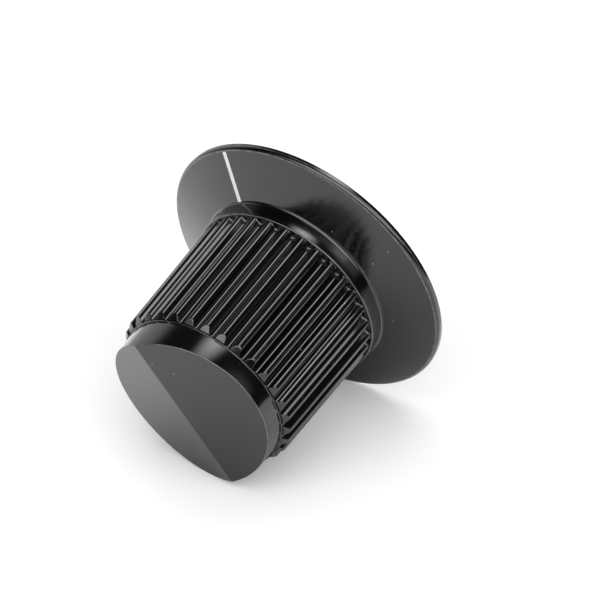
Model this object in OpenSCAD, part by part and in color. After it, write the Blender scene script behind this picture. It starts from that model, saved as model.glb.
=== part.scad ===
// Skirted potentiometer knob: a moulded body with a conical skirt, a collar, a reeded grip and
// a cap with a shallow roof, a brass bush for the shaft, a set screw and a white pointer line.
// The knob stands on the rim of its skirt: z = 0 is the rim, +Z follows the shaft, +Y is the pointer.

/* [Skirt] */
// Outside diameter of the skirt
skirt_d = 38; // [34:0.5:46]
// Height of the rim's upright edge
rim_h = 0.8; // [0.6:0.05:1.1]
// Rounding of the rim's front edge
rim_round = 0.5; // [0.2:0.05:0.7]
// Height that the skirt gains between the rim and the collar
skirt_rise = 2.5; // [2.2:0.1:4]
// Upright thickness of the skirt
skirt_wall = 1.5; // [1.3:0.1:2]
// Depth of the dish under the skirt, which clears the panel nut
dish_depth = 2.2; // [1.4:0.1:2.6]
// Rounding round the dish's ceiling
dish_round = 0.6; // [0.2:0.1:1]

/* [Collar] */
// Diameter of the collar at its foot
collar_d = 25; // [24.8:0.1:27]
// How far the collar draws in from its foot to its front
collar_taper = 0.05; // [0.02:0.01:0.1]
// Height of the collar
collar_h = 2.1; // [1.8:0.1:3]
// Fillet between the collar and the skirt
collar_fillet = 0.4; // [0.2:0.05:0.8]
// Rounding of the collar's front edge
collar_round = 0.2; // [0.1:0.05:0.3]

/* [Grip] */
// Diameter over the reeds where they leave the collar
grip_d = 24.4; // [23.4:0.1:24.6]
// Length of the reeds
grip_l = 17.7; // [14:0.1:24]
// Number of reeds
reed_count = 32; // [24:2:36]
// Depth of the grooves between the reeds
reed_depth = 0.9; // [0.6:0.05:1]
// Width of the floor between two reeds
root_w = 0.2; // [0.1:0.02:0.3]
// Radius of a reed's round crest
crest_r = 0.45; // [0.3:0.05:0.6]
// Bevel on the reeds' front ends
reed_bevel = 0.6; // [0.3:0.05:0.8]
// Draft of the reeds and of the cap, in degrees
draft = 1; // [0.5:0.1:1.2]

/* [Cap] */
// Diameter of the smooth cap at its foot
cap_d = 21.8; // [20:0.1:21.9]
// Height of the cap's ridge above the reeds
cap_h = 4.4; // [3.6:0.1:7]
// Slope of the two roof faces, in degrees
roof_angle = 10.3; // [4:0.1:14]

/* [Pointer] */
// Width of the pointer line
line_w = 0.6; // [0.4:0.1:1.2]
// Depth of the paint in its groove
line_depth = 0.3; // [0.2:0.05:0.5]
// Bare strip left between the line and the collar, and between the line and the rim
line_gap = 0.12; // [0.1:0.02:1]

/* [Shaft] */
// Diameter of the potentiometer shaft
shaft_d = 6.35; // [4:0.05:6.5]
// Gap all round the shaft
shaft_gap = 0.025; // [0.01:0.005:0.05]
// Depth of the shaft hole
bore_l = 15; // [14:0.5:18]
// Diameter of the brass bush
bush_d = 10.5; // [10:0.5:13]
// Width of the groove that keys the bush into the moulding
key_w = 1.5; // [1:0.25:2]
// Depth of that groove
key_depth = 0.6; // [0.3:0.1:0.8]
// Bevel at the mouth of the shaft hole
mouth_bevel = 0.4; // [0.2:0.1:0.6]
// Moulding gap round the bush
bush_gap = 0.02; // [0.01:0.01:0.05]

/* [Set screw] */
// Diameter of the set screw
screw_d = 4; // [3:0.5:5]
// Length of the set screw
screw_l = 6; // [5:0.5:8]
// Height of the set screw above the dish's ceiling
screw_rise = 6.5; // [5:0.5:7]
// Gap left between the set screw and the shaft
screw_stop = 0.2; // [0.1:0.1:0.5]
// Gap round the set screw in its tapped hole
thread_gap = 0.05; // [0.03:0.01:0.1]
// Gap round the set screw in the moulding
hole_gap = 0.3; // [0.1:0.05:0.5]
// Width across the flats of the screw's socket
socket_w = 2; // [1.5:0.5:2.5]
// Depth of the socket
socket_depth = 2.2; // [1.5:0.1:3]
// Bevel at both ends of the set screw
screw_bevel = 0.4; // [0.2:0.1:0.6]

/* [Hidden] */
$fn = 96;
// Straight steps in each rounded corner of a profile
corner_steps = 6;
// Straight steps in each half of a reed's crest
crest_steps = 2;
// Reach of a cutting shape past the face that it cuts
past = 1;

// Heights along the shaft
skirt_r = skirt_d / 2;
collar_r = collar_d / 2;
collar_front_r = collar_r - collar_taper;
collar_z = rim_h + skirt_rise;
grip_z = collar_z + collar_h;
cap_z = grip_z + grip_l;
top_z = cap_z + cap_h;

// The skirt's slope and the dish that runs parallel to it
skirt_angle = atan2(skirt_rise, skirt_r - collar_r);
dish_rim_r = skirt_r - (skirt_wall - rim_h) / tan(skirt_angle);
dish_r = dish_rim_r - dish_depth / tan(skirt_angle);

// Radii of the reeds, which lean in by the draft
lean = tan(draft);
tip_r = grip_d / 2;
root_r = tip_r - reed_depth;
tip_front_r = tip_r - grip_l * lean;
root_front_r = root_r - grip_l * lean;
cap_r = cap_d / 2;
cap_top_r = cap_r - cap_h * lean;

// A reed is a round crest with two flat flanks, which run down to the edges of its floors
root_angle = 180 / reed_count - asin(root_w / 2 / root_r);
floor_edge = root_r * [cos(root_angle), sin(root_angle)];
crest_centre = [tip_r - crest_r, 0];
flank_reach = norm(floor_edge - crest_centre);
flank_angle = atan2(floor_edge.y, floor_edge.x - crest_centre.x) - acos(crest_r / flank_reach);

// Where the pointer line starts, on the collar's fillet, and ends, before the rim's rounding
round_reach = rim_round * tan((90 - skirt_angle) / 2) * cos(skirt_angle);
line_r0 = collar_r + line_gap;
line_r1 = skirt_r - round_reach - line_gap;

// The bush and the set screw
bore_r = shaft_d / 2 + shaft_gap;
bush_r = bush_d / 2;
bush_top_z = dish_depth + bore_l;
key_z = collar_z;
screw_r = screw_d / 2;
screw_z = dish_depth + screw_rise;
screw_tip_r = bore_r + screw_stop;

function unit(v) = v / norm(v);

// Arc of radius r that rounds the corner b between the points a and c
function corner(a, b, c, r) =
    let (
        to_a = unit(a - b),
        to_c = unit(c - b),
        half = acos(to_a * to_c) / 2,
        centre = b + unit(to_a + to_c) * r / sin(half),
        start = b + to_a * r / tan(half) - centre,
        end = b + to_c * r / tan(half) - centre,
        turn = atan2(start.x * end.y - start.y * end.x, start * end)
    )
    [for (i = [0:corner_steps])
        let (step = turn * i / corner_steps)
        centre + [start.x * cos(step) - start.y * sin(step), start.x * sin(step) + start.y * cos(step)]];

// Half section of the body without its reeds, as radius and height
function body_profile() =
    let (
        ceiling = [dish_r, dish_depth],
        dish_edge = [dish_rim_r, 0],
        rim_foot = [skirt_r, 0],
        rim_edge = [skirt_r, rim_h],
        collar_foot = [collar_r, collar_z],
        collar_edge = [collar_front_r, grip_z],
        reed_foot = [root_r, grip_z]
    )
    concat(
        [[0, dish_depth]],
        corner([0, dish_depth], ceiling, dish_edge, dish_round),
        [dish_edge, rim_foot],
        corner(rim_foot, rim_edge, collar_foot, rim_round),
        corner(rim_edge, collar_foot, collar_edge, collar_fillet),
        corner(collar_foot, collar_edge, reed_foot, collar_round),
        [reed_foot, [root_front_r, cap_z], [cap_r, cap_z], [cap_top_r, top_z], [0, top_z]]
    );

// The turned form: skirt, collar, the core of the grip, and the cap before its roof is cut
module turned_form() {
    rotate_extrude()
        polygon(body_profile());
}

// Envelope that bevels the reeds' front ends
module reed_envelope() {
    wide_r = tip_r + past;
    rotate_extrude()
        polygon([
            [0, grip_z - collar_h / 2],
            [wide_r, grip_z - collar_h / 2],
            [wide_r, cap_z - reed_bevel],
            [tip_front_r, cap_z - reed_bevel],
            [tip_front_r - reed_bevel, cap_z],
            [0, cap_z]
        ]);
}

// Outline of one reed round its crest's centre; its foot reaches into the core
function reed_outline() =
    let (
        flank = [cos(flank_angle), sin(flank_angle)],
        foot = floor_edge - crest_centre + [-flank.y, flank.x] * reed_depth / 2,
        crest = [for (k = [-crest_steps:crest_steps])
            let (a = flank_angle * k / crest_steps)
            crest_r * [cos(a), sin(a)]]
    )
    concat(crest, [foot, [foot.x, -foot.y]]);

// Reeds side by side, each leaning in by the draft
module reeds() {
    reed_l = (grip_l + collar_h + past) / cos(draft);
    intersection() {
        for (i = [0:reed_count - 1])
            rotate([0, 0, (i + 0.5) * 360 / reed_count + 90])
                translate([crest_centre.x, 0, grip_z])
                    rotate([0, -draft, 0])
                        translate([0, 0, -collar_h])
                            linear_extrude(height = reed_l)
                                polygon(reed_outline());
        reed_envelope();
    }
}

// Everything above the two roof faces, whose ridge follows the pointer
module above_roof() {
    wide = cap_d + past;
    drop = wide * tan(roof_angle);
    rotate([90, 0, 0])
        linear_extrude(height = 2 * wide, center = true)
            polygon([[0, top_z], [wide, top_z - drop], [wide, top_z + past], [-wide, top_z + past], [-wide, top_z - drop]]);
}

// Slab sunk into the skirt along the pointer, parallel to the skirt's slope
module pointer_slab() {
    slab_l = (line_r1 - line_r0) / cos(skirt_angle);
    translate([0, line_r0, rim_h + (skirt_r - line_r0) * tan(skirt_angle)])
        rotate([-skirt_angle, 0, 0])
            translate([-line_w / 2, 0, -line_depth])
                cube([line_w, slab_l, line_depth + past]);
}

// Outside of the bush, grown by a gap; a groove inside the collar keys it into the moulding
module bush_form(gap) {
    r = bush_r + gap;
    key_r = bush_r - key_depth + gap;
    rotate_extrude()
        polygon([
            [0, dish_depth],
            [r, dish_depth],
            [r, key_z + gap],
            [key_r, key_z + gap],
            [key_r, key_z + key_w - gap],
            [r, key_z + key_w - gap],
            [r, bush_top_z + gap],
            [0, bush_top_z + gap]
        ]);
}

// Radial hole for the set screw, on the side away from the pointer
module screw_hole(r, from_r) {
    translate([0, -from_r, screw_z])
        rotate([90, 0, 0])
            cylinder(r = r, h = skirt_r);
}

module knob_body() {
    color("#1c1b1c")
        difference() {
            union() {
                turned_form();
                reeds();
            }
            above_roof();
            pointer_slab();
            bush_form(bush_gap);
            screw_hole(screw_r + hole_gap, bore_r);
        }
}

module shaft_bush() {
    mouth_r = bore_r + mouth_bevel;
    color("#c09a4a")
        difference() {
            bush_form(0);
            translate([0, 0, dish_depth - past])
                cylinder(r = bore_r, h = bore_l + 2 * past);
            translate([0, 0, dish_depth - past])
                cylinder(r1 = mouth_r + past, r2 = bore_r, h = mouth_bevel + past);
            screw_hole(screw_r + thread_gap, 0);
        }
}

module set_screw() {
    end_r = screw_r - screw_bevel;
    socket_r = socket_w / 2 / cos(30);
    color("#6d6f72")
        translate([0, -screw_tip_r, screw_z])
            rotate([90, 0, 0])
                difference() {
                    rotate_extrude()
                        polygon([
                            [0, 0],
                            [end_r, 0],
                            [screw_r, screw_bevel],
                            [screw_r, screw_l - screw_bevel],
                            [end_r, screw_l],
                            [0, screw_l]
                        ]);
                    translate([0, 0, screw_l - socket_depth])
                        cylinder(r = socket_r, h = socket_depth + past, $fn = 6);
                }
}

module pointer_line() {
    color("#e9ebf0")
        intersection() {
            turned_form();
            pointer_slab();
        }
}

knob_body();
shaft_bush();
set_screw();
pointer_line();
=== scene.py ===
"""Skirted potentiometer knob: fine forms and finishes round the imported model, on a white table."""
import math

import bmesh
import bpy
from mathutils import Matrix, Vector, geometry, noise


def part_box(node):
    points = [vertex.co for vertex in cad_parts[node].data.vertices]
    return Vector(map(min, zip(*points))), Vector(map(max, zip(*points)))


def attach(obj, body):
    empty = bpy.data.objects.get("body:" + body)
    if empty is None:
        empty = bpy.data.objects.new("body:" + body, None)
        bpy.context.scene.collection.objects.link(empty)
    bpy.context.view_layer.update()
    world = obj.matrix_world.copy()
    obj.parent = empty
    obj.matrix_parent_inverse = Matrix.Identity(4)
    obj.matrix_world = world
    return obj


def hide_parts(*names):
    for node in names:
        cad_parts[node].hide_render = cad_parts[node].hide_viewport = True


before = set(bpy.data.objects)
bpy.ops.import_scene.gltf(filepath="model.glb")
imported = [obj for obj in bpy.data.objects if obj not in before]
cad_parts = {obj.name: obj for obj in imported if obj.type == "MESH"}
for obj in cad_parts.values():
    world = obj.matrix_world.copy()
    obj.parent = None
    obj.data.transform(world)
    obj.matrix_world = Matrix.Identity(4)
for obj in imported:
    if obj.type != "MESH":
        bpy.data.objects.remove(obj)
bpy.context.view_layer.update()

# Sizes are in millimetres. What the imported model's boxes give is read, the rest repeats its drawing.
MM = 0.001
body_low, body_high = (corner_point / MM for corner_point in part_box("knob_body"))
bush_low, bush_high = (corner_point / MM for corner_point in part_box("shaft_bush"))
screw_low, screw_high = (corner_point / MM for corner_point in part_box("set_screw"))

# Skirt with its rim and the dish under it
SKIRT_R = min(-body_low.x, body_high.x, -body_low.y, body_high.y)
SKIRT_WALL = 1.5
RIM_H = 0.8
RIM_ROUND = 0.5
FLASH_ROUND = 0.12
DISH_DEPTH = bush_low.z
DISH_ROUND = 0.6

# Collar
COLLAR_R = 12.5
COLLAR_Z = 3.3
COLLAR_H = 2.1
COLLAR_TAPER = 0.05
COLLAR_FILLET = 0.4
COLLAR_ROUND = 0.2

# Reeded grip; a flank's curve keeps the crest's and the valley's direction for a share of its length
REED_COUNT = 32
TIP_R = 12.2
REED_DEPTH = 0.9
CREST_R = 0.6
VALLEY_R = 0.5
ARC_TURN = math.radians(45)
FLANK_SHARE = 0.4
REED_BEVEL = 0.6
REED_FILLET = 0.3
EDGE = 0.09
GRIP_L = 17.7
DRAFT = math.radians(1)

# Cap with its roof
TOP_Z = body_high.z
CAP_R = 10.9
CAP_FILLET = 0.12
CAP_EDGE = 0.12
RIDGE_ROUND = 0.06
ROOF_ANGLE = math.radians(10.3)

# Pointer line: its groove, then the paint with the lengths of its uneven edges and top
LINE_W = 0.6
LINE_DEPTH = 0.3
LINE_GAP = 0.12
SLAB_ABOVE = 1
PAINT_INSET = 0.003
PAINT_BELOW = 0.004
PAINT_SINK = 0.006
PAINT_WANDER = 0.006
PAINT_LUMPS = 0.006
WANDER_LENGTH = 0.25
LUMP_LENGTH = 0.2
LUMP_LAYER = 3

# Shaft bush
BUSH_R = bush_high.x
BUSH_TOP_Z = bush_high.z
BUSH_GAP = 0.02
BORE_R = 3.2
MOUTH_BEVEL = 0.4
KEY_W = 1.5
KEY_DEPTH = 0.6
TURNED_EDGE = 0.12

# Set screw
SCREW_R = screw_high.x
SCREW_Z = (screw_low.z + screw_high.z) / 2
SCREW_TIP_R = -screw_high.y
SCREW_L = screw_high.y - screw_low.y
SCREW_BEVEL = 0.4
HOLE_GAP = 0.3
THREAD_GAP = 0.05
THREAD_PITCH = 0.7
THREAD_DEPTH = 0.35
SOCKET_W = 2.0
SOCKET_DEPTH = 2.2
SOCKET_EDGE = 0.1
HEXAGON_SECTOR = math.radians(60)

# Widths of the pale lines on edges and reed crests, and how much paler the crests are: partly wear
# from handling, partly painted highlight lines
EDGE_PALE_WIDTH = 0.06
CREST_PALE_WIDTH = 0.008
CREST_PALE_SHARE = 0.2

# Sizes that follow
GRIP_Z = COLLAR_Z + COLLAR_H
CAP_Z = GRIP_Z + GRIP_L
LEAN = math.tan(DRAFT)
COLLAR_FRONT_R = COLLAR_R - COLLAR_TAPER
ROOT_R = TIP_R - REED_DEPTH
TIP_FRONT_R = TIP_R - GRIP_L * LEAN
CAP_EDGE_R = CAP_R - (TOP_Z - CAP_Z) * LEAN
SKIRT_ANGLE = math.atan2(COLLAR_Z - RIM_H, SKIRT_R - COLLAR_R)
SKIRT_SLOPE = math.tan(SKIRT_ANGLE)
DISH_RIM_R = SKIRT_R - (SKIRT_WALL - RIM_H) / SKIRT_SLOPE
DISH_R = DISH_RIM_R - DISH_DEPTH / SKIRT_SLOPE
# How far a rounding between the skirt and an upright wall reaches up and out, as shares of its radius
CORNER_RISE = math.tan((math.pi / 2 - SKIRT_ANGLE) / 2)
CORNER_REACH = CORNER_RISE * math.cos(SKIRT_ANGLE)
RIM_WALL_Z = RIM_H - RIM_ROUND * CORNER_RISE
FACE_END_R = SKIRT_R - RIM_ROUND * CORNER_REACH
# The pointer line starts on the collar's fillet and ends before the rim's rounding
LINE_R0 = COLLAR_R + LINE_GAP
LINE_R1 = FACE_END_R - LINE_GAP

# Steps of the meshes; the roof's rings are shares of its radius, closest at the middle of the ridge
CREST_STEPS = 4
VALLEY_STEPS = 4
FLANK_STEPS = 5
CORNER_STEPS = 6
TURN_STEPS = 128
SCREW_STEPS = 48
THREAD_STEPS = 10
PAINT_STEPS_ALONG = 90
PAINT_STEPS_ACROSS = 8
ROOF_SHARES = (0.9, 0.7, 0.5, 0.3, 0.12, 0.04, 0.01)
# Extra rings this close to a rounding keep straight stretches evenly shaded; closer points are welded
LEAD = 0.02
WELD = 0.0005

# Angles in degrees from which an edge is drawn sharp
MOULDED_SHARP = 28
TURNED_SHARP = 30
PAINT_SHARP = 40

# The photograph's view, in the knob's own frame: angles in degrees, lengths in millimetres
CAMERA_AZIMUTH = 27.9
CAMERA_ELEVATION = 31.91
CAMERA_ROLL = -140.4
CAMERA_DISTANCE = 567.7
AIM_RIGHT = -0.81
AIM_UP = -4.02
AIM_Z = 0.58
LENS = 280.35
SENSOR_W = 36
CLIP_NEAR = 10
CLIP_FAR = 10000

# The knob lies on its rim and its reeds' front ends; this azimuth points away from the table
TABLE_AZIMUTH = 63.2
TABLE_SIZE = 320
TABLE_GLOW = 0.21
# Gain of the table's colour as the gloss sees it: painted shade close under the knob, painted light
# brighter than white in the open, and the reach of the painted shade
MIRRORED_SHADE = 0.45
MIRRORED_OPEN = 1.85
SHADE_REACH = 24
SHADE_SAMPLES = 16

# The room: a pale wall up to a fading height, and windows in front above a fading sill. Widths are
# cosines from the middle of the wall or of the front, heights are sines over the table.
WALL_AZIMUTH = 118
WALL_SIDE_FADE = (0.45, 0.85)
WALL_TOP_FADE = (0.79, 0.47)
WINDOW_SIDE_FADE = (0.2, 0.4)
WINDOW_SILL_FADE = (0.1, 0.3)
WINDOW_SHARE = 1.3
ROOM_DIM = 0.05
ROOM_LIT = 1.1


def linear(code):
    """Linear colour with alpha from an sRGB hex code."""
    channels = [int(code[i:i + 2], 16) / 255 for i in (1, 3, 5)]
    return [c / 12.92 if c <= 0.04045 else ((c + 0.055) / 1.055) ** 2.4 for c in channels] + [1.0]


def per_mm(size):
    """Texture scale at which one cell of a pattern is this many millimetres across."""
    return 1 / (size * MM)


def add(tree, kind, inputs=None, stops=(), **settings):
    """Adds a node with its settings and links.

    An input is a value or the socket that feeds it, and a stop is a place on a ramp with its colour.
    """
    made = tree.nodes.new(kind)
    for i, (at, code) in enumerate(stops):
        element = made.color_ramp.elements[i] if i < 2 else made.color_ramp.elements.new(at)
        element.position = at
        element.color = linear(code)
    for name, value in settings.items():
        setattr(made, name, value)
    for name, value in (inputs or {}).items():
        if isinstance(value, bpy.types.NodeSocket):
            tree.links.new(value, made.inputs[name])
        else:
            made.inputs[name].default_value = value
    return made


def skirt_z(r):
    """Height of the skirt's cone at a radius."""
    return RIM_H + (SKIRT_R - r) * SKIRT_SLOPE


def new_material(name):
    """Empty material with its tree, its principled shader and the object coordinates."""
    material = bpy.data.materials.new(name)
    material.use_nodes = True
    tree = material.node_tree
    shader = tree.nodes["Principled BSDF"]
    place = add(tree, "ShaderNodeTexCoord").outputs["Object"]
    return material, tree, shader, place


def wear_and_highlight_edges(tree, place):
    """Mask of the pale edges and reed crests: one on them, nought beside them.

    The paleness is partly wear from handling and partly painted highlight lines.
    """
    flat = add(tree, "ShaderNodeVectorMath", {0: place, 1: (1, 1, 0)}, operation="MULTIPLY")
    length = add(tree, "ShaderNodeVectorMath", {0: flat.outputs["Vector"]}, operation="LENGTH")
    reach = length.outputs["Value"]
    parts = add(tree, "ShaderNodeSeparateXYZ", {"Vector": place})
    level = parts.outputs["Z"]
    side = add(tree, "ShaderNodeMath", {0: parts.outputs["X"]}, operation="ABSOLUTE")
    lift = add(tree, "ShaderNodeMath",
               {0: side.outputs["Value"], 1: math.tan(ROOF_ANGLE), 2: level}, operation="MULTIPLY_ADD")
    profile = add(tree, "ShaderNodeCombineXYZ", {"X": reach, "Y": level}).outputs["Vector"]
    roofed = add(tree, "ShaderNodeCombineXYZ", {"X": reach, "Y": lift.outputs["Value"]}).outputs["Vector"]
    # The middle of a rounding lies about a quarter of its radius inside the corner
    edges = [
        (profile, SKIRT_R, RIM_WALL_Z, EDGE_PALE_WIDTH),
        (profile, FACE_END_R, skirt_z(FACE_END_R), 2 * EDGE_PALE_WIDTH),
        (profile, COLLAR_FRONT_R - COLLAR_ROUND / 4, GRIP_Z - COLLAR_ROUND / 4, EDGE_PALE_WIDTH),
        (profile, CAP_R, CAP_Z, EDGE_PALE_WIDTH),
        (roofed, CAP_EDGE_R - CAP_EDGE / 4, TOP_Z - CAP_EDGE / 4, EDGE_PALE_WIDTH),
    ]
    tip = add(tree, "ShaderNodeMath", {0: level, 1: LEAN, 2: reach}, operation="MULTIPLY_ADD")
    under = add(tree, "ShaderNodeMath",
                {0: tip.outputs["Value"], 1: (TIP_R + GRIP_Z * LEAN) * MM}, operation="SUBTRACT")
    beside = add(tree, "ShaderNodeMath", {0: under.outputs["Value"]}, operation="ABSOLUTE")
    # Pale reed crests: partly wear, partly a painted highlight line along each crest
    crests = add(tree, "ShaderNodeMapRange",
                 {"Value": beside.outputs["Value"], "From Min": CREST_PALE_WIDTH * MM,
                  "From Max": CREST_PALE_WIDTH / 4 * MM, "To Max": CREST_PALE_SHARE})
    mask = crests.outputs["Result"]
    for section, r, z, width in edges:
        gap = add(tree, "ShaderNodeVectorMath",
                  {0: section, 1: (r * MM, z * MM, 0)}, operation="DISTANCE")
        line = add(tree, "ShaderNodeMapRange",
                   {"Value": gap.outputs["Value"], "From Min": width * MM, "From Max": width / 3 * MM})
        both = add(tree, "ShaderNodeMath", {0: mask, 1: line.outputs["Result"]}, operation="MAXIMUM")
        mask = both.outputs["Value"]
    return mask


def moulded_phenolic():
    """Black phenolic from a polished mould.

    A wet black gloss with faint flow marks, specks of dust, and pale edges and reed crests that are
    partly wear from handling and partly painted highlight lines. The mould's grain is drawn coarser
    than it is, as it would be too fine to show.
    """
    material, tree, shader, place = new_material("moulded_black_phenolic")
    flow = add(tree, "ShaderNodeTexNoise",
               {"Vector": place, "Scale": per_mm(6), "Detail": 4.0, "Roughness": 0.6})
    peel = add(tree, "ShaderNodeTexNoise", {"Vector": place, "Scale": per_mm(0.9), "Detail": 2.0})
    grain = add(tree, "ShaderNodeTexNoise", {"Vector": place, "Scale": per_mm(0.16), "Detail": 3.0})
    dust = add(tree, "ShaderNodeTexVoronoi", {"Vector": place, "Scale": per_mm(2.6)}, feature="F1")
    speck = add(tree, "ShaderNodeMapRange",
                {"Value": dust.outputs["Distance"], "From Min": 0.035, "From Max": 0.02})
    patchy = add(tree, "ShaderNodeMapRange",
                 {"Value": peel.outputs["Fac"], "From Min": 0.3, "From Max": 0.6,
                  "To Min": 0.2, "To Max": 0.75})
    # Pale edges and crests, partly wear and partly painted highlight lines; the same mask dulls the gloss
    # there
    wear_and_highlight = add(tree, "ShaderNodeMath",
                 {0: wear_and_highlight_edges(tree, place), 1: patchy.outputs["Result"]}, operation="MULTIPLY")
    tone = add(tree, "ShaderNodeValToRGB", {"Fac": flow.outputs["Fac"]},
               [(0.3, "#040404"), (0.7, "#080708")])
    # Pale colour on the masked edges and crests: partly wear, partly painted highlight
    worn_and_lit = add(tree, "ShaderNodeMix",
               {"Factor": wear_and_highlight.outputs["Value"], "A": tone.outputs["Color"], "B": linear("#787675")},
               data_type="RGBA")
    colour = add(tree, "ShaderNodeMix",
                 {"Factor": speck.outputs["Result"], "A": worn_and_lit.outputs["Result"], "B": linear("#9d9b98")},
                 data_type="RGBA")
    polish = add(tree, "ShaderNodeMapRange",
                 {"Value": flow.outputs["Fac"], "From Min": 0.3, "From Max": 0.7,
                  "To Min": 0.1, "To Max": 0.15})
    gloss = add(tree, "ShaderNodeMapRange",
                {"Value": wear_and_highlight.outputs["Value"], "To Min": polish.outputs["Result"], "To Max": 0.4})
    waves = add(tree, "ShaderNodeBump",
                {"Height": peel.outputs["Fac"], "Strength": 0.06, "Distance": 0.02 * MM})
    skin = add(tree, "ShaderNodeBump",
               {"Height": grain.outputs["Fac"], "Strength": 0.12, "Distance": 0.006 * MM,
                "Normal": waves.outputs["Normal"]})
    tree.links.new(colour.outputs["Result"], shader.inputs["Base Color"])
    tree.links.new(gloss.outputs["Result"], shader.inputs["Roughness"])
    tree.links.new(skin.outputs["Normal"], shader.inputs["Normal"])
    shader.inputs["IOR"].default_value = 1.55
    shader.inputs["Specular Tint"].default_value = linear("#fffafb")
    return material


def filler_paint():
    """White filler paint wiped into a groove: satin, a little uneven, with a cool tint."""
    material, tree, shader, place = new_material("wiped_white_filler_paint")
    body = add(tree, "ShaderNodeTexNoise",
               {"Vector": place, "Scale": per_mm(0.5), "Detail": 4.0, "Roughness": 0.6})
    tone = add(tree, "ShaderNodeValToRGB", {"Fac": body.outputs["Fac"]},
               [(0.25, "#e4e8f1"), (0.6, "#f1f3f8"), (0.8, "#f7f8fb")])
    dull = add(tree, "ShaderNodeMapRange",
               {"Value": body.outputs["Fac"], "To Min": 0.38, "To Max": 0.6})
    lumps = add(tree, "ShaderNodeBump",
                {"Height": body.outputs["Fac"], "Strength": 0.35, "Distance": 0.02 * MM})
    tree.links.new(tone.outputs["Color"], shader.inputs["Base Color"])
    tree.links.new(dull.outputs["Result"], shader.inputs["Roughness"])
    tree.links.new(lumps.outputs["Normal"], shader.inputs["Normal"])
    shader.inputs["IOR"].default_value = 1.5
    return material


def turned_brass():
    """Free-cutting brass off the lathe: yellow metal with turning rings and a thin brown film.

    The rings are drawn coarser than a lathe's feed, so that they show.
    """
    material, tree, shader, place = new_material("turned_brass")
    rings = add(tree, "ShaderNodeTexWave",
                {"Vector": place, "Scale": per_mm(0.16) / math.tau, "Distortion": 0.6, "Detail": 2.0},
                wave_type="RINGS", rings_direction="Z")
    film = add(tree, "ShaderNodeTexNoise",
               {"Vector": place, "Scale": per_mm(2.5), "Detail": 5.0, "Roughness": 0.65})
    tone = add(tree, "ShaderNodeValToRGB", {"Fac": film.outputs["Fac"]},
               [(0.3, "#a97f35"), (0.55, "#c9a24f"), (0.75, "#d8b666")])
    dull = add(tree, "ShaderNodeMapRange",
               {"Value": film.outputs["Fac"], "From Min": 0.3, "From Max": 0.7,
                "To Min": 0.36, "To Max": 0.22})
    cuts = add(tree, "ShaderNodeBump",
               {"Height": rings.outputs["Fac"], "Strength": 0.35, "Distance": 0.012 * MM})
    tree.links.new(tone.outputs["Color"], shader.inputs["Base Color"])
    tree.links.new(dull.outputs["Result"], shader.inputs["Roughness"])
    tree.links.new(cuts.outputs["Normal"], shader.inputs["Normal"])
    shader.inputs["Metallic"].default_value = 1.0
    return material


def oiled_steel():
    """Blackened alloy steel with a film of oil: dark grey metal, brighter where the film is thin."""
    material, tree, shader, place = new_material("blackened_alloy_steel")
    film = add(tree, "ShaderNodeTexNoise",
               {"Vector": place, "Scale": per_mm(0.7), "Detail": 5.0, "Roughness": 0.6})
    tone = add(tree, "ShaderNodeValToRGB", {"Fac": film.outputs["Fac"]},
               [(0.3, "#4a4b4e"), (0.6, "#6a6b6f"), (0.8, "#85868a")])
    dull = add(tree, "ShaderNodeMapRange",
               {"Value": film.outputs["Fac"], "To Min": 0.28, "To Max": 0.5})
    scale = add(tree, "ShaderNodeBump",
                {"Height": film.outputs["Fac"], "Strength": 0.2, "Distance": 0.015 * MM})
    tree.links.new(tone.outputs["Color"], shader.inputs["Base Color"])
    tree.links.new(dull.outputs["Result"], shader.inputs["Roughness"])
    tree.links.new(scale.outputs["Normal"], shader.inputs["Normal"])
    shader.inputs["Metallic"].default_value = 1.0
    return material


def corner(a, b, c, radius):
    """Points that round the corner b between the points a and c, as radius and height.

    A point just outside each end keeps the straight stretches evenly shaded.
    """
    a, b, c = Vector(a), Vector(b), Vector(c)
    to_a, to_c = (a - b).normalized(), (c - b).normalized()
    half = to_a.angle(to_c) / 2
    centre = b + (to_a + to_c).normalized() * radius / math.sin(half)
    start = b + to_a * radius / math.tan(half) - centre
    end = b + to_c * radius / math.tan(half) - centre
    turn = math.atan2(start.x * end.y - start.y * end.x, start.dot(end))
    turns = [turn * i / CORNER_STEPS for i in range(CORNER_STEPS + 1)]
    arc = [centre + Matrix.Rotation(angle, 2) @ start for angle in turns]
    return [arc[0] + to_a * LEAD] + arc + [arc[-1] + to_c * LEAD]


def even_azimuths(count):
    """Azimuths of the columns of a turned piece."""
    return [math.tau * i / count for i in range(count)]


def polar(azimuth, r, z):
    """Point at an azimuth, a radius from the shaft's axis and a height."""
    return (r * math.cos(azimuth), r * math.sin(azimuth), z)


def circle(azimuths, r, z):
    """Ring of points round the shaft at one radius and height."""
    return [polar(a, r, z) for a in azimuths]


def hexagon(azimuths, half_width, z):
    """Ring of points round a hexagon of half a width across its flats."""
    past_flat = [(a + HEXAGON_SECTOR / 2) % HEXAGON_SECTOR - HEXAGON_SECTOR / 2 for a in azimuths]
    return [polar(a, half_width / math.cos(p), z) for a, p in zip(azimuths, past_flat)]


def ring_mesh(rings):
    """Closed mesh through rings of points, in millimetres; a ring of one point is a pole."""
    mesh = bmesh.new()
    made = [[mesh.verts.new(Vector(p) * MM) for p in ring] for ring in rings]
    for low, high in zip(made, made[1:]):
        count = max(len(low), len(high))
        for i in range(count):
            j = (i + 1) % count
            if len(low) == 1:
                mesh.faces.new((low[0], high[j], high[i]))
            elif len(high) == 1:
                mesh.faces.new((low[i], low[j], high[0]))
            else:
                mesh.faces.new((low[i], low[j], high[j], high[i]))
    bmesh.ops.remove_doubles(mesh, verts=mesh.verts, dist=WELD * MM)
    bmesh.ops.recalc_face_normals(mesh, faces=mesh.faces)
    return mesh


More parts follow.
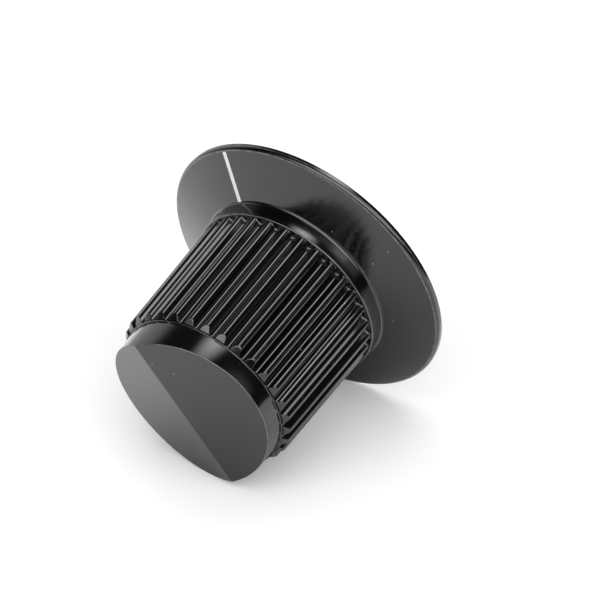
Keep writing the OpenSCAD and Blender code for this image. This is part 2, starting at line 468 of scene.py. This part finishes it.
def add_object(name, data):
    """New object in the scene."""
    made = bpy.data.objects.new(name, data)
    bpy.context.scene.collection.objects.link(made)
    return made


def smooth(data, sharp):
    """Shades a mesh smooth up to the sharp angle in degrees."""
    data.polygons.foreach_set("use_smooth", [True] * len(data.polygons))
    data.set_sharp_from_angle(angle=math.radians(sharp))


def new_piece(name, mesh, material, sharp):
    """Object from a bmesh, smooth up to the sharp angle in degrees."""
    data = bpy.data.meshes.new(name)
    mesh.to_mesh(data)
    mesh.free()
    data.materials.append(material)
    smooth(data, sharp)
    return add_object(name, data)


def cut_away(piece, cutter, sharp):
    """Cuts one object out of another and deletes the cutter."""
    cut = piece.modifiers.new("cut", "BOOLEAN")
    cut.operation = "DIFFERENCE"
    cut.solver = "EXACT"
    cut.object = cutter
    bpy.context.view_layer.update()
    shown = piece.evaluated_get(bpy.context.evaluated_depsgraph_get())
    data = bpy.data.meshes.new_from_object(shown)
    piece.modifiers.clear()
    piece.data = data
    smooth(data, sharp)
    bpy.data.objects.remove(cutter)


def heading(angle):
    """Flat unit vector at an angle."""
    return Vector((math.cos(angle), math.sin(angle)))


def reed_outline():
    """Points of one reed at the collar, from valley to valley.

    A round crest, softly waved flanks and half a hollow valley on each side.
    """
    half_pitch = math.pi / REED_COUNT
    crest = Vector((TIP_R - CREST_R, 0))
    valley = heading(half_pitch) * (ROOT_R + VALLEY_R)
    side = [crest + heading(ARC_TURN * k / CREST_STEPS) * CREST_R for k in range(CREST_STEPS + 1)]
    bend = [half_pitch + ARC_TURN * (1 - k / VALLEY_STEPS) for k in range(VALLEY_STEPS + 1)]
    hollow = [valley - heading(a) * VALLEY_R for a in bend]
    reach = (hollow[0] - side[-1]).length * FLANK_SHARE
    leave = side[-1] + heading(ARC_TURN + math.pi / 2) * reach
    arrive = hollow[0] - heading(bend[0] + math.pi / 2) * reach
    flank = geometry.interpolate_bezier(side[-1], leave, arrive, hollow[0], FLANK_STEPS + 1)
    side += flank[1:-1] + hollow
    other_side = [Vector((p.x, -p.y)) for p in reversed(side[1:-1])]
    return other_side + side


def reed_columns():
    """Columns of the body's mesh: each reed's azimuth with each point of its outline."""
    outline = reed_outline()
    azimuths = [math.pi / 2 + (i + 0.5) * math.tau / REED_COUNT for i in range(REED_COUNT)]
    return [(azimuth, point) for azimuth in azimuths for point in outline]


def reed_point(column, z):
    """Point of a reed's surface at a height, leaning in by the draft."""
    azimuth, point = column
    lean_in = (z - GRIP_Z) * LEAN
    return Matrix.Rotation(azimuth, 2) @ (point * (1 - lean_in / point.length))


def at_radius(flat, r, z):
    """Point in the direction of a flat vector, at a radius and height."""
    out = flat.normalized() * r
    return (out.x, out.y, z)


def reed_rings(columns):
    """Rings of the grip: fillet at the collar, straight reeds, bevelled front ends and the shoulder."""
    rings = []
    collar_edge = COLLAR_FRONT_R - COLLAR_ROUND - 2 * LEAD
    feet = [reed_point(c, GRIP_Z) for c in columns]
    for k in range(CORNER_STEPS + 1):
        turn = math.pi / 2 * k / CORNER_STEPS
        ring = []
        for foot in feet:
            fillet = min(REED_FILLET, collar_edge - foot.length)
            ring.append(at_radius(foot, foot.length + fillet * (1 - math.sin(turn)),
                                  GRIP_Z + fillet * (1 - math.cos(turn))))
        rings.append(ring)
    rings.append([(x, y, z + LEAD) for x, y, z in rings[-1]])
    bevel_z = CAP_Z - REED_BEVEL
    depths = [TIP_FRONT_R - reed_point(c, bevel_z).length for c in columns]
    ends = [min(CAP_Z, bevel_z + depth / (1 - LEAN)) for depth in depths]
    for step in (-EDGE - LEAD, -EDGE, 0, EDGE, EDGE + LEAD, REED_BEVEL):
        ring = []
        for column, end in zip(columns, ends):
            z = min(CAP_Z, end + step)
            flat = reed_point(column, z)
            reach = flat.length - (EDGE / 4 if step == 0 else 0)
            ring.append(at_radius(flat, min(reach, TIP_FRONT_R - (z - bevel_z)), z))
        rings.append(ring)
    return rings


def roof_z(x):
    """Height of the roof over the distance from its ridge."""
    return TOP_Z - math.tan(ROOF_ANGLE) * (math.hypot(x, RIDGE_ROUND) - RIDGE_ROUND)


def roof_ring(azimuths, r, drop):
    """Ring at a radius, this far under the roof."""
    return [polar(a, r, roof_z(r * math.cos(a)) - drop) for a in azimuths]


def roof_rings(azimuths):
    """Rings of the cap's edge and of the two roof faces, up to the pole on the ridge."""
    rings = []
    for k in range(CORNER_STEPS + 1):
        turn = math.pi / 2 * k / CORNER_STEPS
        r = CAP_EDGE_R - CAP_EDGE * (1 - math.cos(turn))
        rings.append(roof_ring(azimuths, r, CAP_EDGE * (1 - math.sin(turn))))
    for r in [CAP_EDGE_R - CAP_EDGE - LEAD] + [CAP_EDGE_R * share for share in ROOF_SHARES]:
        rings.append(roof_ring(azimuths, r, 0))
    rings.append([(0, 0, TOP_Z)])
    return rings


def screw_cutter(r, material):
    """Radial round cutter for the set screw's hole, a little wider where it leaves the reeds."""
    azimuths = even_azimuths(TURN_STEPS)
    profile = [(r, BORE_R), (r, ROOT_R), (r + 2 * EDGE, TIP_R - EDGE), (r + 2 * EDGE, SKIRT_R)]
    rings = [[(0, 0, BORE_R)]] + [circle(azimuths, *p) for p in profile] + [[(0, 0, SKIRT_R)]]
    mesh = ring_mesh(rings)
    mesh.transform(Matrix.Translation((0, 0, SCREW_Z * MM)) @ Matrix.Rotation(math.pi / 2, 4, "X"))
    return new_piece("screw_cutter", mesh, material, MOULDED_SHARP)


def pointer_slab(material):
    """Slab that cuts the pointer's groove, parallel to the skirt's slope."""
    length = (LINE_R1 - LINE_R0) / math.cos(SKIRT_ANGLE)
    mesh = bmesh.new()
    bmesh.ops.create_cube(mesh, size=1.0)
    size = Matrix.Diagonal((LINE_W * MM, length * MM, (LINE_DEPTH + SLAB_ABOVE) * MM, 1))
    lift = Matrix.Translation((0, length / 2 * MM, (SLAB_ABOVE - LINE_DEPTH) / 2 * MM))
    start = Matrix.Translation((0, LINE_R0 * MM, skirt_z(LINE_R0) * MM))
    mesh.transform(start @ Matrix.Rotation(-SKIRT_ANGLE, 4, "X") @ lift @ size)
    return new_piece("pointer_slab", mesh, material, MOULDED_SHARP)


def knob_moulding(material):
    """The moulded body: dish, rim, skirt, collar, reeds and cap, with screw hole and pointer groove."""
    columns = reed_columns()
    azimuths = [math.atan2(p.y, p.x) for p in (reed_point(c, GRIP_Z) for c in columns)]
    hole_r = BUSH_R + BUSH_GAP
    hole_mouth, hole_end = (hole_r, DISH_DEPTH), (hole_r, BUSH_TOP_Z)
    ceiling, dish_edge = (DISH_R, DISH_DEPTH), (DISH_RIM_R, 0)
    rim_foot, rim_edge = (SKIRT_R, 0), (SKIRT_R, RIM_H)
    collar_foot, collar_edge = (COLLAR_R, COLLAR_Z), (COLLAR_FRONT_R, GRIP_Z)
    cap_foot, cap_top = (CAP_R, CAP_Z), (CAP_EDGE_R, TOP_Z)
    lower = [hole_end]
    lower += corner(hole_end, hole_mouth, ceiling, FLASH_ROUND)
    lower += corner(hole_mouth, ceiling, dish_edge, DISH_ROUND)
    lower += corner(ceiling, dish_edge, rim_foot, FLASH_ROUND)
    lower += corner(dish_edge, rim_foot, rim_edge, FLASH_ROUND)
    lower += corner(rim_foot, rim_edge, collar_foot, RIM_ROUND)
    lower += corner(rim_edge, collar_foot, collar_edge, COLLAR_FILLET)
    lower += corner(collar_foot, collar_edge, (ROOT_R, GRIP_Z), COLLAR_ROUND)
    shoulder = corner((SKIRT_R, CAP_Z), cap_foot, cap_top, CAP_FILLET)
    rings = [[(0, 0, BUSH_TOP_Z)]]
    rings += [circle(azimuths, r, z) for r, z in lower]
    rings += reed_rings(columns)
    rings += [circle(azimuths, r, z) for r, z in shoulder]
    rings += roof_rings(azimuths)
    piece = new_piece("knob_moulding", ring_mesh(rings), material, MOULDED_SHARP)
    cut_away(piece, screw_cutter(SCREW_R + HOLE_GAP, material), MOULDED_SHARP)
    cut_away(piece, pointer_slab(material), MOULDED_SHARP)
    return piece


def skirt_face_z(r):
    """Height of the skirt's face at a radius, where the fillet lifts it off the cone near the collar."""
    reach = COLLAR_FILLET * CORNER_REACH
    if r >= COLLAR_R + reach:
        return skirt_z(r)
    centre_z = skirt_z(COLLAR_R + reach) + COLLAR_FILLET * math.cos(SKIRT_ANGLE)
    return centre_z - math.sqrt(COLLAR_FILLET ** 2 - (COLLAR_R + COLLAR_FILLET - r) ** 2)


def pointer_fill(material):
    """Paint in the groove: a long bead with a slightly sunk, uneven top."""
    along, across = PAINT_STEPS_ALONG, PAINT_STEPS_ACROSS
    floor_drop = LINE_DEPTH / math.cos(SKIRT_ANGLE)
    mesh = bmesh.new()
    top, under = [], []
    for i in range(along + 1):
        y = LINE_R0 + PAINT_INSET + (LINE_R1 - LINE_R0 - 2 * PAINT_INSET) * i / along
        wander = PAINT_WANDER * abs(noise.noise((0, y / WANDER_LENGTH, 0)))
        half = LINE_W / 2 - PAINT_INSET - wander
        top_row, under_row = [], []
        for j in range(across + 1):
            u = 2 * j / across - 1
            x = half * u
            lump = PAINT_LUMPS * noise.noise((x / LUMP_LENGTH, y / LUMP_LENGTH, LUMP_LAYER))
            dip = PAINT_SINK * (1 - u * u) + lump
            z = skirt_face_z(math.hypot(x, y)) - PAINT_BELOW - dip
            top_row.append(mesh.verts.new(Vector((x, y, z)) * MM))
            under_row.append(mesh.verts.new(Vector((x, y, skirt_z(y) - floor_drop)) * MM))
        top.append(top_row)
        under.append(under_row)
    for i in range(along):
        for j in range(across):
            mesh.faces.new((top[i][j], top[i][j + 1], top[i + 1][j + 1], top[i + 1][j]))
            mesh.faces.new((under[i][j], under[i + 1][j], under[i + 1][j + 1], under[i][j + 1]))
        for j in (0, across):
            mesh.faces.new((top[i][j], top[i + 1][j], under[i + 1][j], under[i][j]))
    for j in range(across):
        for i in (0, along):
            mesh.faces.new((top[i][j], top[i][j + 1], under[i][j + 1], under[i][j]))
    bmesh.ops.recalc_face_normals(mesh, faces=mesh.faces)
    return new_piece("pointer_fill", mesh, material, PAINT_SHARP)


def turned_bush(material):
    """Brass bush: turned end, bevelled mouth, keying groove and the tapped hole for the set screw."""
    azimuths = even_azimuths(TURN_STEPS)
    key_r, key_top = BUSH_R - KEY_DEPTH, COLLAR_Z + KEY_W
    foot, head = (BUSH_R, DISH_DEPTH), (BUSH_R, BUSH_TOP_Z)
    mouth, throat = (BORE_R + MOUTH_BEVEL, DISH_DEPTH), (BORE_R, DISH_DEPTH + MOUTH_BEVEL)
    profile = [throat, mouth]
    profile += corner(mouth, foot, head, TURNED_EDGE)
    profile += [(BUSH_R, COLLAR_Z), (key_r, COLLAR_Z), (key_r, key_top), (BUSH_R, key_top)]
    profile += corner((BUSH_R, COLLAR_Z), head, (BORE_R, BUSH_TOP_Z), TURNED_EDGE)
    profile += [(BORE_R, BUSH_TOP_Z), throat]
    mesh = ring_mesh([circle(azimuths, r, z) for r, z in profile])
    piece = new_piece("turned_bush", mesh, material, TURNED_SHARP)
    cut_away(piece, screw_cutter(SCREW_R + THREAD_GAP, material), TURNED_SHARP)
    return piece


def socket_screw(material):
    """Set screw: a cut thread, bevelled ends and a hexagon socket."""
    azimuths = even_azimuths(SCREW_STEPS)
    rows = round(SCREW_L / THREAD_PITCH * THREAD_STEPS)
    rings = [[(0, 0, 0)]]
    for i in range(rows + 1):
        z = SCREW_L * i / rows
        limit = SCREW_R - max(0, SCREW_BEVEL - z, SCREW_BEVEL - (SCREW_L - z))
        ring = []
        for a in azimuths:
            phase = (z / THREAD_PITCH - a / math.tau) % 1
            r = min(limit, SCREW_R - THREAD_DEPTH * abs(2 * phase - 1))
            ring.append(polar(a, r, z))
        rings.append(ring)
    rings.append(hexagon(azimuths, SOCKET_W / 2 + SOCKET_EDGE, SCREW_L))
    rings.append(hexagon(azimuths, SOCKET_W / 2, SCREW_L - SOCKET_EDGE))
    rings.append(hexagon(azimuths, SOCKET_W / 2, SCREW_L - SOCKET_DEPTH))
    rings.append([(0, 0, SCREW_L - SOCKET_DEPTH - SOCKET_W / 4)])
    mesh = ring_mesh(rings)
    tip = Matrix.Translation((0, -SCREW_TIP_R * MM, SCREW_Z * MM))
    mesh.transform(tip @ Matrix.Rotation(math.pi / 2, 4, "X"))
    return new_piece("socket_screw", mesh, material, TURNED_SHARP)


def direction(azimuth, elevation):
    """Unit vector from angles in degrees in the knob's frame."""
    a, e = math.radians(azimuth), math.radians(elevation)
    return Vector((math.cos(a) * math.cos(e), math.sin(a) * math.cos(e), math.sin(e)))


def view_axes():
    """Right, up and back of the photograph's camera."""
    back = direction(CAMERA_AZIMUTH, CAMERA_ELEVATION)
    level = Vector((0, 0, 1)).cross(back).normalized()
    turned = Matrix.Rotation(math.radians(CAMERA_ROLL), 3, back) @ level
    return turned, back.cross(turned), back


def room_axes():
    """Right, away and up of the room; its table is tangent to the knob's rim and reeds' front ends."""
    dip = math.degrees(math.atan2(SKIRT_R - TIP_FRONT_R, CAP_Z - REED_BEVEL - RIM_H / 2))
    up = direction(TABLE_AZIMUTH, -dip)
    away = up.cross(view_axes()[0]).normalized()
    return away.cross(up), away, up


def room_direction(azimuth, elevation):
    """Unit vector in the room from degrees, turning from the picture's right away from the camera."""
    right, away, up = room_axes()
    local = direction(azimuth, elevation)
    return right * local.x + away * local.y + up * local.z


def set_axes(obj, right, up, back, at):
    """Sets an object's axes and place."""
    axes = Matrix((right, up, back)).transposed().to_4x4()
    obj.matrix_world = Matrix.Translation(at) @ axes


def add_camera():
    """Long lens at the photograph's viewing angle."""
    right, up, back = view_axes()
    data = bpy.data.cameras.new("camera")
    data.lens = LENS
    data.sensor_width = SENSOR_W
    data.clip_start = CLIP_NEAR * MM
    data.clip_end = CLIP_FAR * MM
    camera = add_object("camera", data)
    aim = right * AIM_RIGHT + up * AIM_UP + Vector((0, 0, AIM_Z))
    set_axes(camera, right, up, back, (aim + back * CAMERA_DISTANCE) * MM)
    bpy.context.scene.camera = camera


def white_table():
    """Matt white table top, seen from above only.

    A little glow keeps it white to the camera, with a pale shadow. To the gloss its colour is painted
    brighter than white in the open, with a painted shade close under the knob from ambient occlusion,
    as a strong light would show it.
    """
    material = bpy.data.materials.new("matt_white_table")
    material.use_nodes = True
    tree = material.node_tree
    tree.nodes.clear()
    mirrored = add(tree, "ShaderNodeLightPath").outputs["Is Glossy Ray"]
    # Painted shade: to the gloss, the table's colour darkens by ambient occlusion close under the knob
    open_sky = add(tree, "ShaderNodeAmbientOcclusion", {"Distance": SHADE_REACH * MM},
                   samples=SHADE_SAMPLES)
    painted_mirror_shade = add(tree, "ShaderNodeMapRange",
               {"Value": open_sky.outputs["AO"], "To Min": MIRRORED_SHADE, "To Max": MIRRORED_OPEN})
    gain = add(tree, "ShaderNodeMapRange",
               {"Value": mirrored, "To Min": 1.0, "To Max": painted_mirror_shade.outputs["Result"]})
    faint = add(tree, "ShaderNodeMapRange", {"Value": mirrored, "To Min": TABLE_GLOW, "To Max": 0.0})
    white = add(tree, "ShaderNodeVectorMath",
                {0: linear("#f4f4f4")[:3], "Scale": gain.outputs["Result"]}, operation="SCALE")
    paper = add(tree, "ShaderNodeBsdfDiffuse", {"Color": white.outputs["Vector"]})
    glow = add(tree, "ShaderNodeEmission",
               {"Color": linear("#ffffff"), "Strength": faint.outputs["Result"]})
    top = add(tree, "ShaderNodeAddShader", {0: paper.outputs["BSDF"], 1: glow.outputs["Emission"]})
    under = add(tree, "ShaderNodeNewGeometry").outputs["Backfacing"]
    clear = add(tree, "ShaderNodeBsdfTransparent")
    seen = add(tree, "ShaderNodeMixShader",
               {"Fac": under, 1: top.outputs["Shader"], 2: clear.outputs["BSDF"]})
    add(tree, "ShaderNodeOutputMaterial", {"Surface": seen.outputs["Shader"]})
    return material


def add_table(moulding):
    """Table plane under the knob's lowest points along the table's normal."""
    right, away, up = room_axes()
    lowest = min(up.dot(v.co) for v in moulding.data.vertices)
    mesh = bmesh.new()
    bmesh.ops.create_grid(mesh, x_segments=1, y_segments=1, size=TABLE_SIZE / 2 * MM)
    data = bpy.data.meshes.new("table")
    mesh.to_mesh(data)
    mesh.free()
    data.materials.append(white_table())
    table = add_object("table", data)
    set_axes(table, right, away, up, up * lowest)


def add_softbox(name, azimuth, elevation, distance, width, height, radiance):
    """Flat lamp aimed at the knob, which the camera doesn't see; radiance is what its face shows."""
    towards = room_direction(azimuth, elevation)
    data = bpy.data.lights.new(name, "AREA")
    data.shape = "RECTANGLE"
    data.size = width * MM
    data.size_y = height * MM
    # A rectangle's face shows a quarter of its watts per square metre
    data.energy = radiance * 4 * data.size * data.size_y
    lamp = add_object(name, data)
    level = room_axes()[2].cross(towards).normalized()
    set_axes(lamp, level, towards.cross(level), towards, towards * distance * MM)
    lamp.visible_camera = False
    return lamp


def fade_face(lamp):
    """Lets a lamp's face fade from its bright middle to its edges, as a softbox with one bulb does."""
    lamp.data.use_nodes = True
    tree = lamp.data.node_tree
    middle, edge = (0.5, 0.5, 0), 0.5
    spot = add(tree, "ShaderNodeNewGeometry").outputs["Parametric"]
    gap = add(tree, "ShaderNodeVectorMath", {0: spot, 1: middle}, operation="DISTANCE")
    fade = add(tree, "ShaderNodeMapRange",
               {"Value": gap.outputs["Value"], "From Min": edge, "From Max": 0.0},
               interpolation_type="SMOOTHSTEP")
    tree.links.new(fade.outputs["Result"], tree.nodes["Emission"].inputs["Strength"])


def add_lamps():
    """Two lamps that only the gloss shows, and two softer ones that only light matt surfaces."""
    softbox = add_softbox("overhead_softbox", azimuth=22, elevation=74, distance=700,
                          width=440, height=540, radiance=5.6)
    window = add_softbox("front_window", azimuth=-90, elevation=36, distance=700,
                         width=1600, height=640, radiance=2.4)
    tent = add_softbox("light_tent", azimuth=90, elevation=82, distance=800,
                       width=800, height=800, radiance=1.05)
    fill = add_softbox("front_fill", azimuth=-90, elevation=50, distance=800,
                       width=1400, height=800, radiance=0.5)
    fade_face(softbox)
    for lamp in (softbox, window):
        lamp.visible_diffuse = False
    for lamp in (tent, fill):
        lamp.visible_glossy = False


def add_world():
    """White to the camera; else a dim room, with a pale wall behind on the left and windows in front."""
    world = bpy.data.worlds.new("studio")
    bpy.context.scene.world = world
    world.use_nodes = True
    tree = world.node_tree
    tree.nodes.clear()
    away, up = room_axes()[1:]
    look = add(tree, "ShaderNodeTexCoord").outputs["Generated"]
    level, behind, front = (
        add(tree, "ShaderNodeVectorMath", {0: look, 1: axis}, operation="DOT_PRODUCT").outputs["Value"]
        for axis in (up, room_direction(WALL_AZIMUTH, 0), -away))
    low = add(tree, "ShaderNodeMapRange",
              {"Value": level, "From Min": WALL_TOP_FADE[0], "From Max": WALL_TOP_FADE[1]},
              interpolation_type="SMOOTHSTEP")
    wall = add(tree, "ShaderNodeMapRange",
               {"Value": behind, "From Min": WALL_SIDE_FADE[0], "From Max": WALL_SIDE_FADE[1],
                "To Max": low.outputs["Result"]}, interpolation_type="SMOOTHSTEP")
    high = add(tree, "ShaderNodeMapRange",
               {"Value": level, "From Min": WINDOW_SILL_FADE[0], "From Max": WINDOW_SILL_FADE[1],
                "To Max": WINDOW_SHARE}, interpolation_type="SMOOTHSTEP")
    windows = add(tree, "ShaderNodeMapRange",
                  {"Value": front, "From Min": WINDOW_SIDE_FADE[0], "From Max": WINDOW_SIDE_FADE[1],
                   "To Max": high.outputs["Result"]}, interpolation_type="SMOOTHSTEP")
    lit = add(tree, "ShaderNodeMath",
              {0: wall.outputs["Result"], 1: windows.outputs["Result"]}, operation="ADD")
    shade = add(tree, "ShaderNodeMapRange",
                {"Value": lit.outputs["Value"], "To Min": ROOM_DIM, "To Max": ROOM_LIT}, clamp=False)
    room = add(tree, "ShaderNodeBackground",
               {"Color": linear("#ffffff"), "Strength": shade.outputs["Result"]})
    white = add(tree, "ShaderNodeBackground", {"Color": linear("#ffffff"), "Strength": 1.0})
    camera_ray = add(tree, "ShaderNodeLightPath").outputs["Is Camera Ray"]
    seen = add(tree, "ShaderNodeMixShader",
               {"Fac": camera_ray, 1: room.outputs["Background"], 2: white.outputs["Background"]})
    add(tree, "ShaderNodeOutputWorld", {"Surface": seen.outputs["Shader"]})


add_camera()
pieces = {
    "knob_body": (knob_moulding, moulded_phenolic, "black_phenolic"),
    "pointer_line": (pointer_fill, filler_paint, "white_paint"),
    "shaft_bush": (turned_bush, turned_brass, "turned_brass"),
    "set_screw": (socket_screw, oiled_steel, "screw_steel"),
}
for node_name, (make, finish, slot_name) in pieces.items():
    piece = make(finish())
    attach(piece, "root")
    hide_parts(node_name)
    if node_name == "knob_body":
        add_table(piece)
add_lamps()
add_world()

bpy.context.scene.view_settings.view_transform = "Standard"
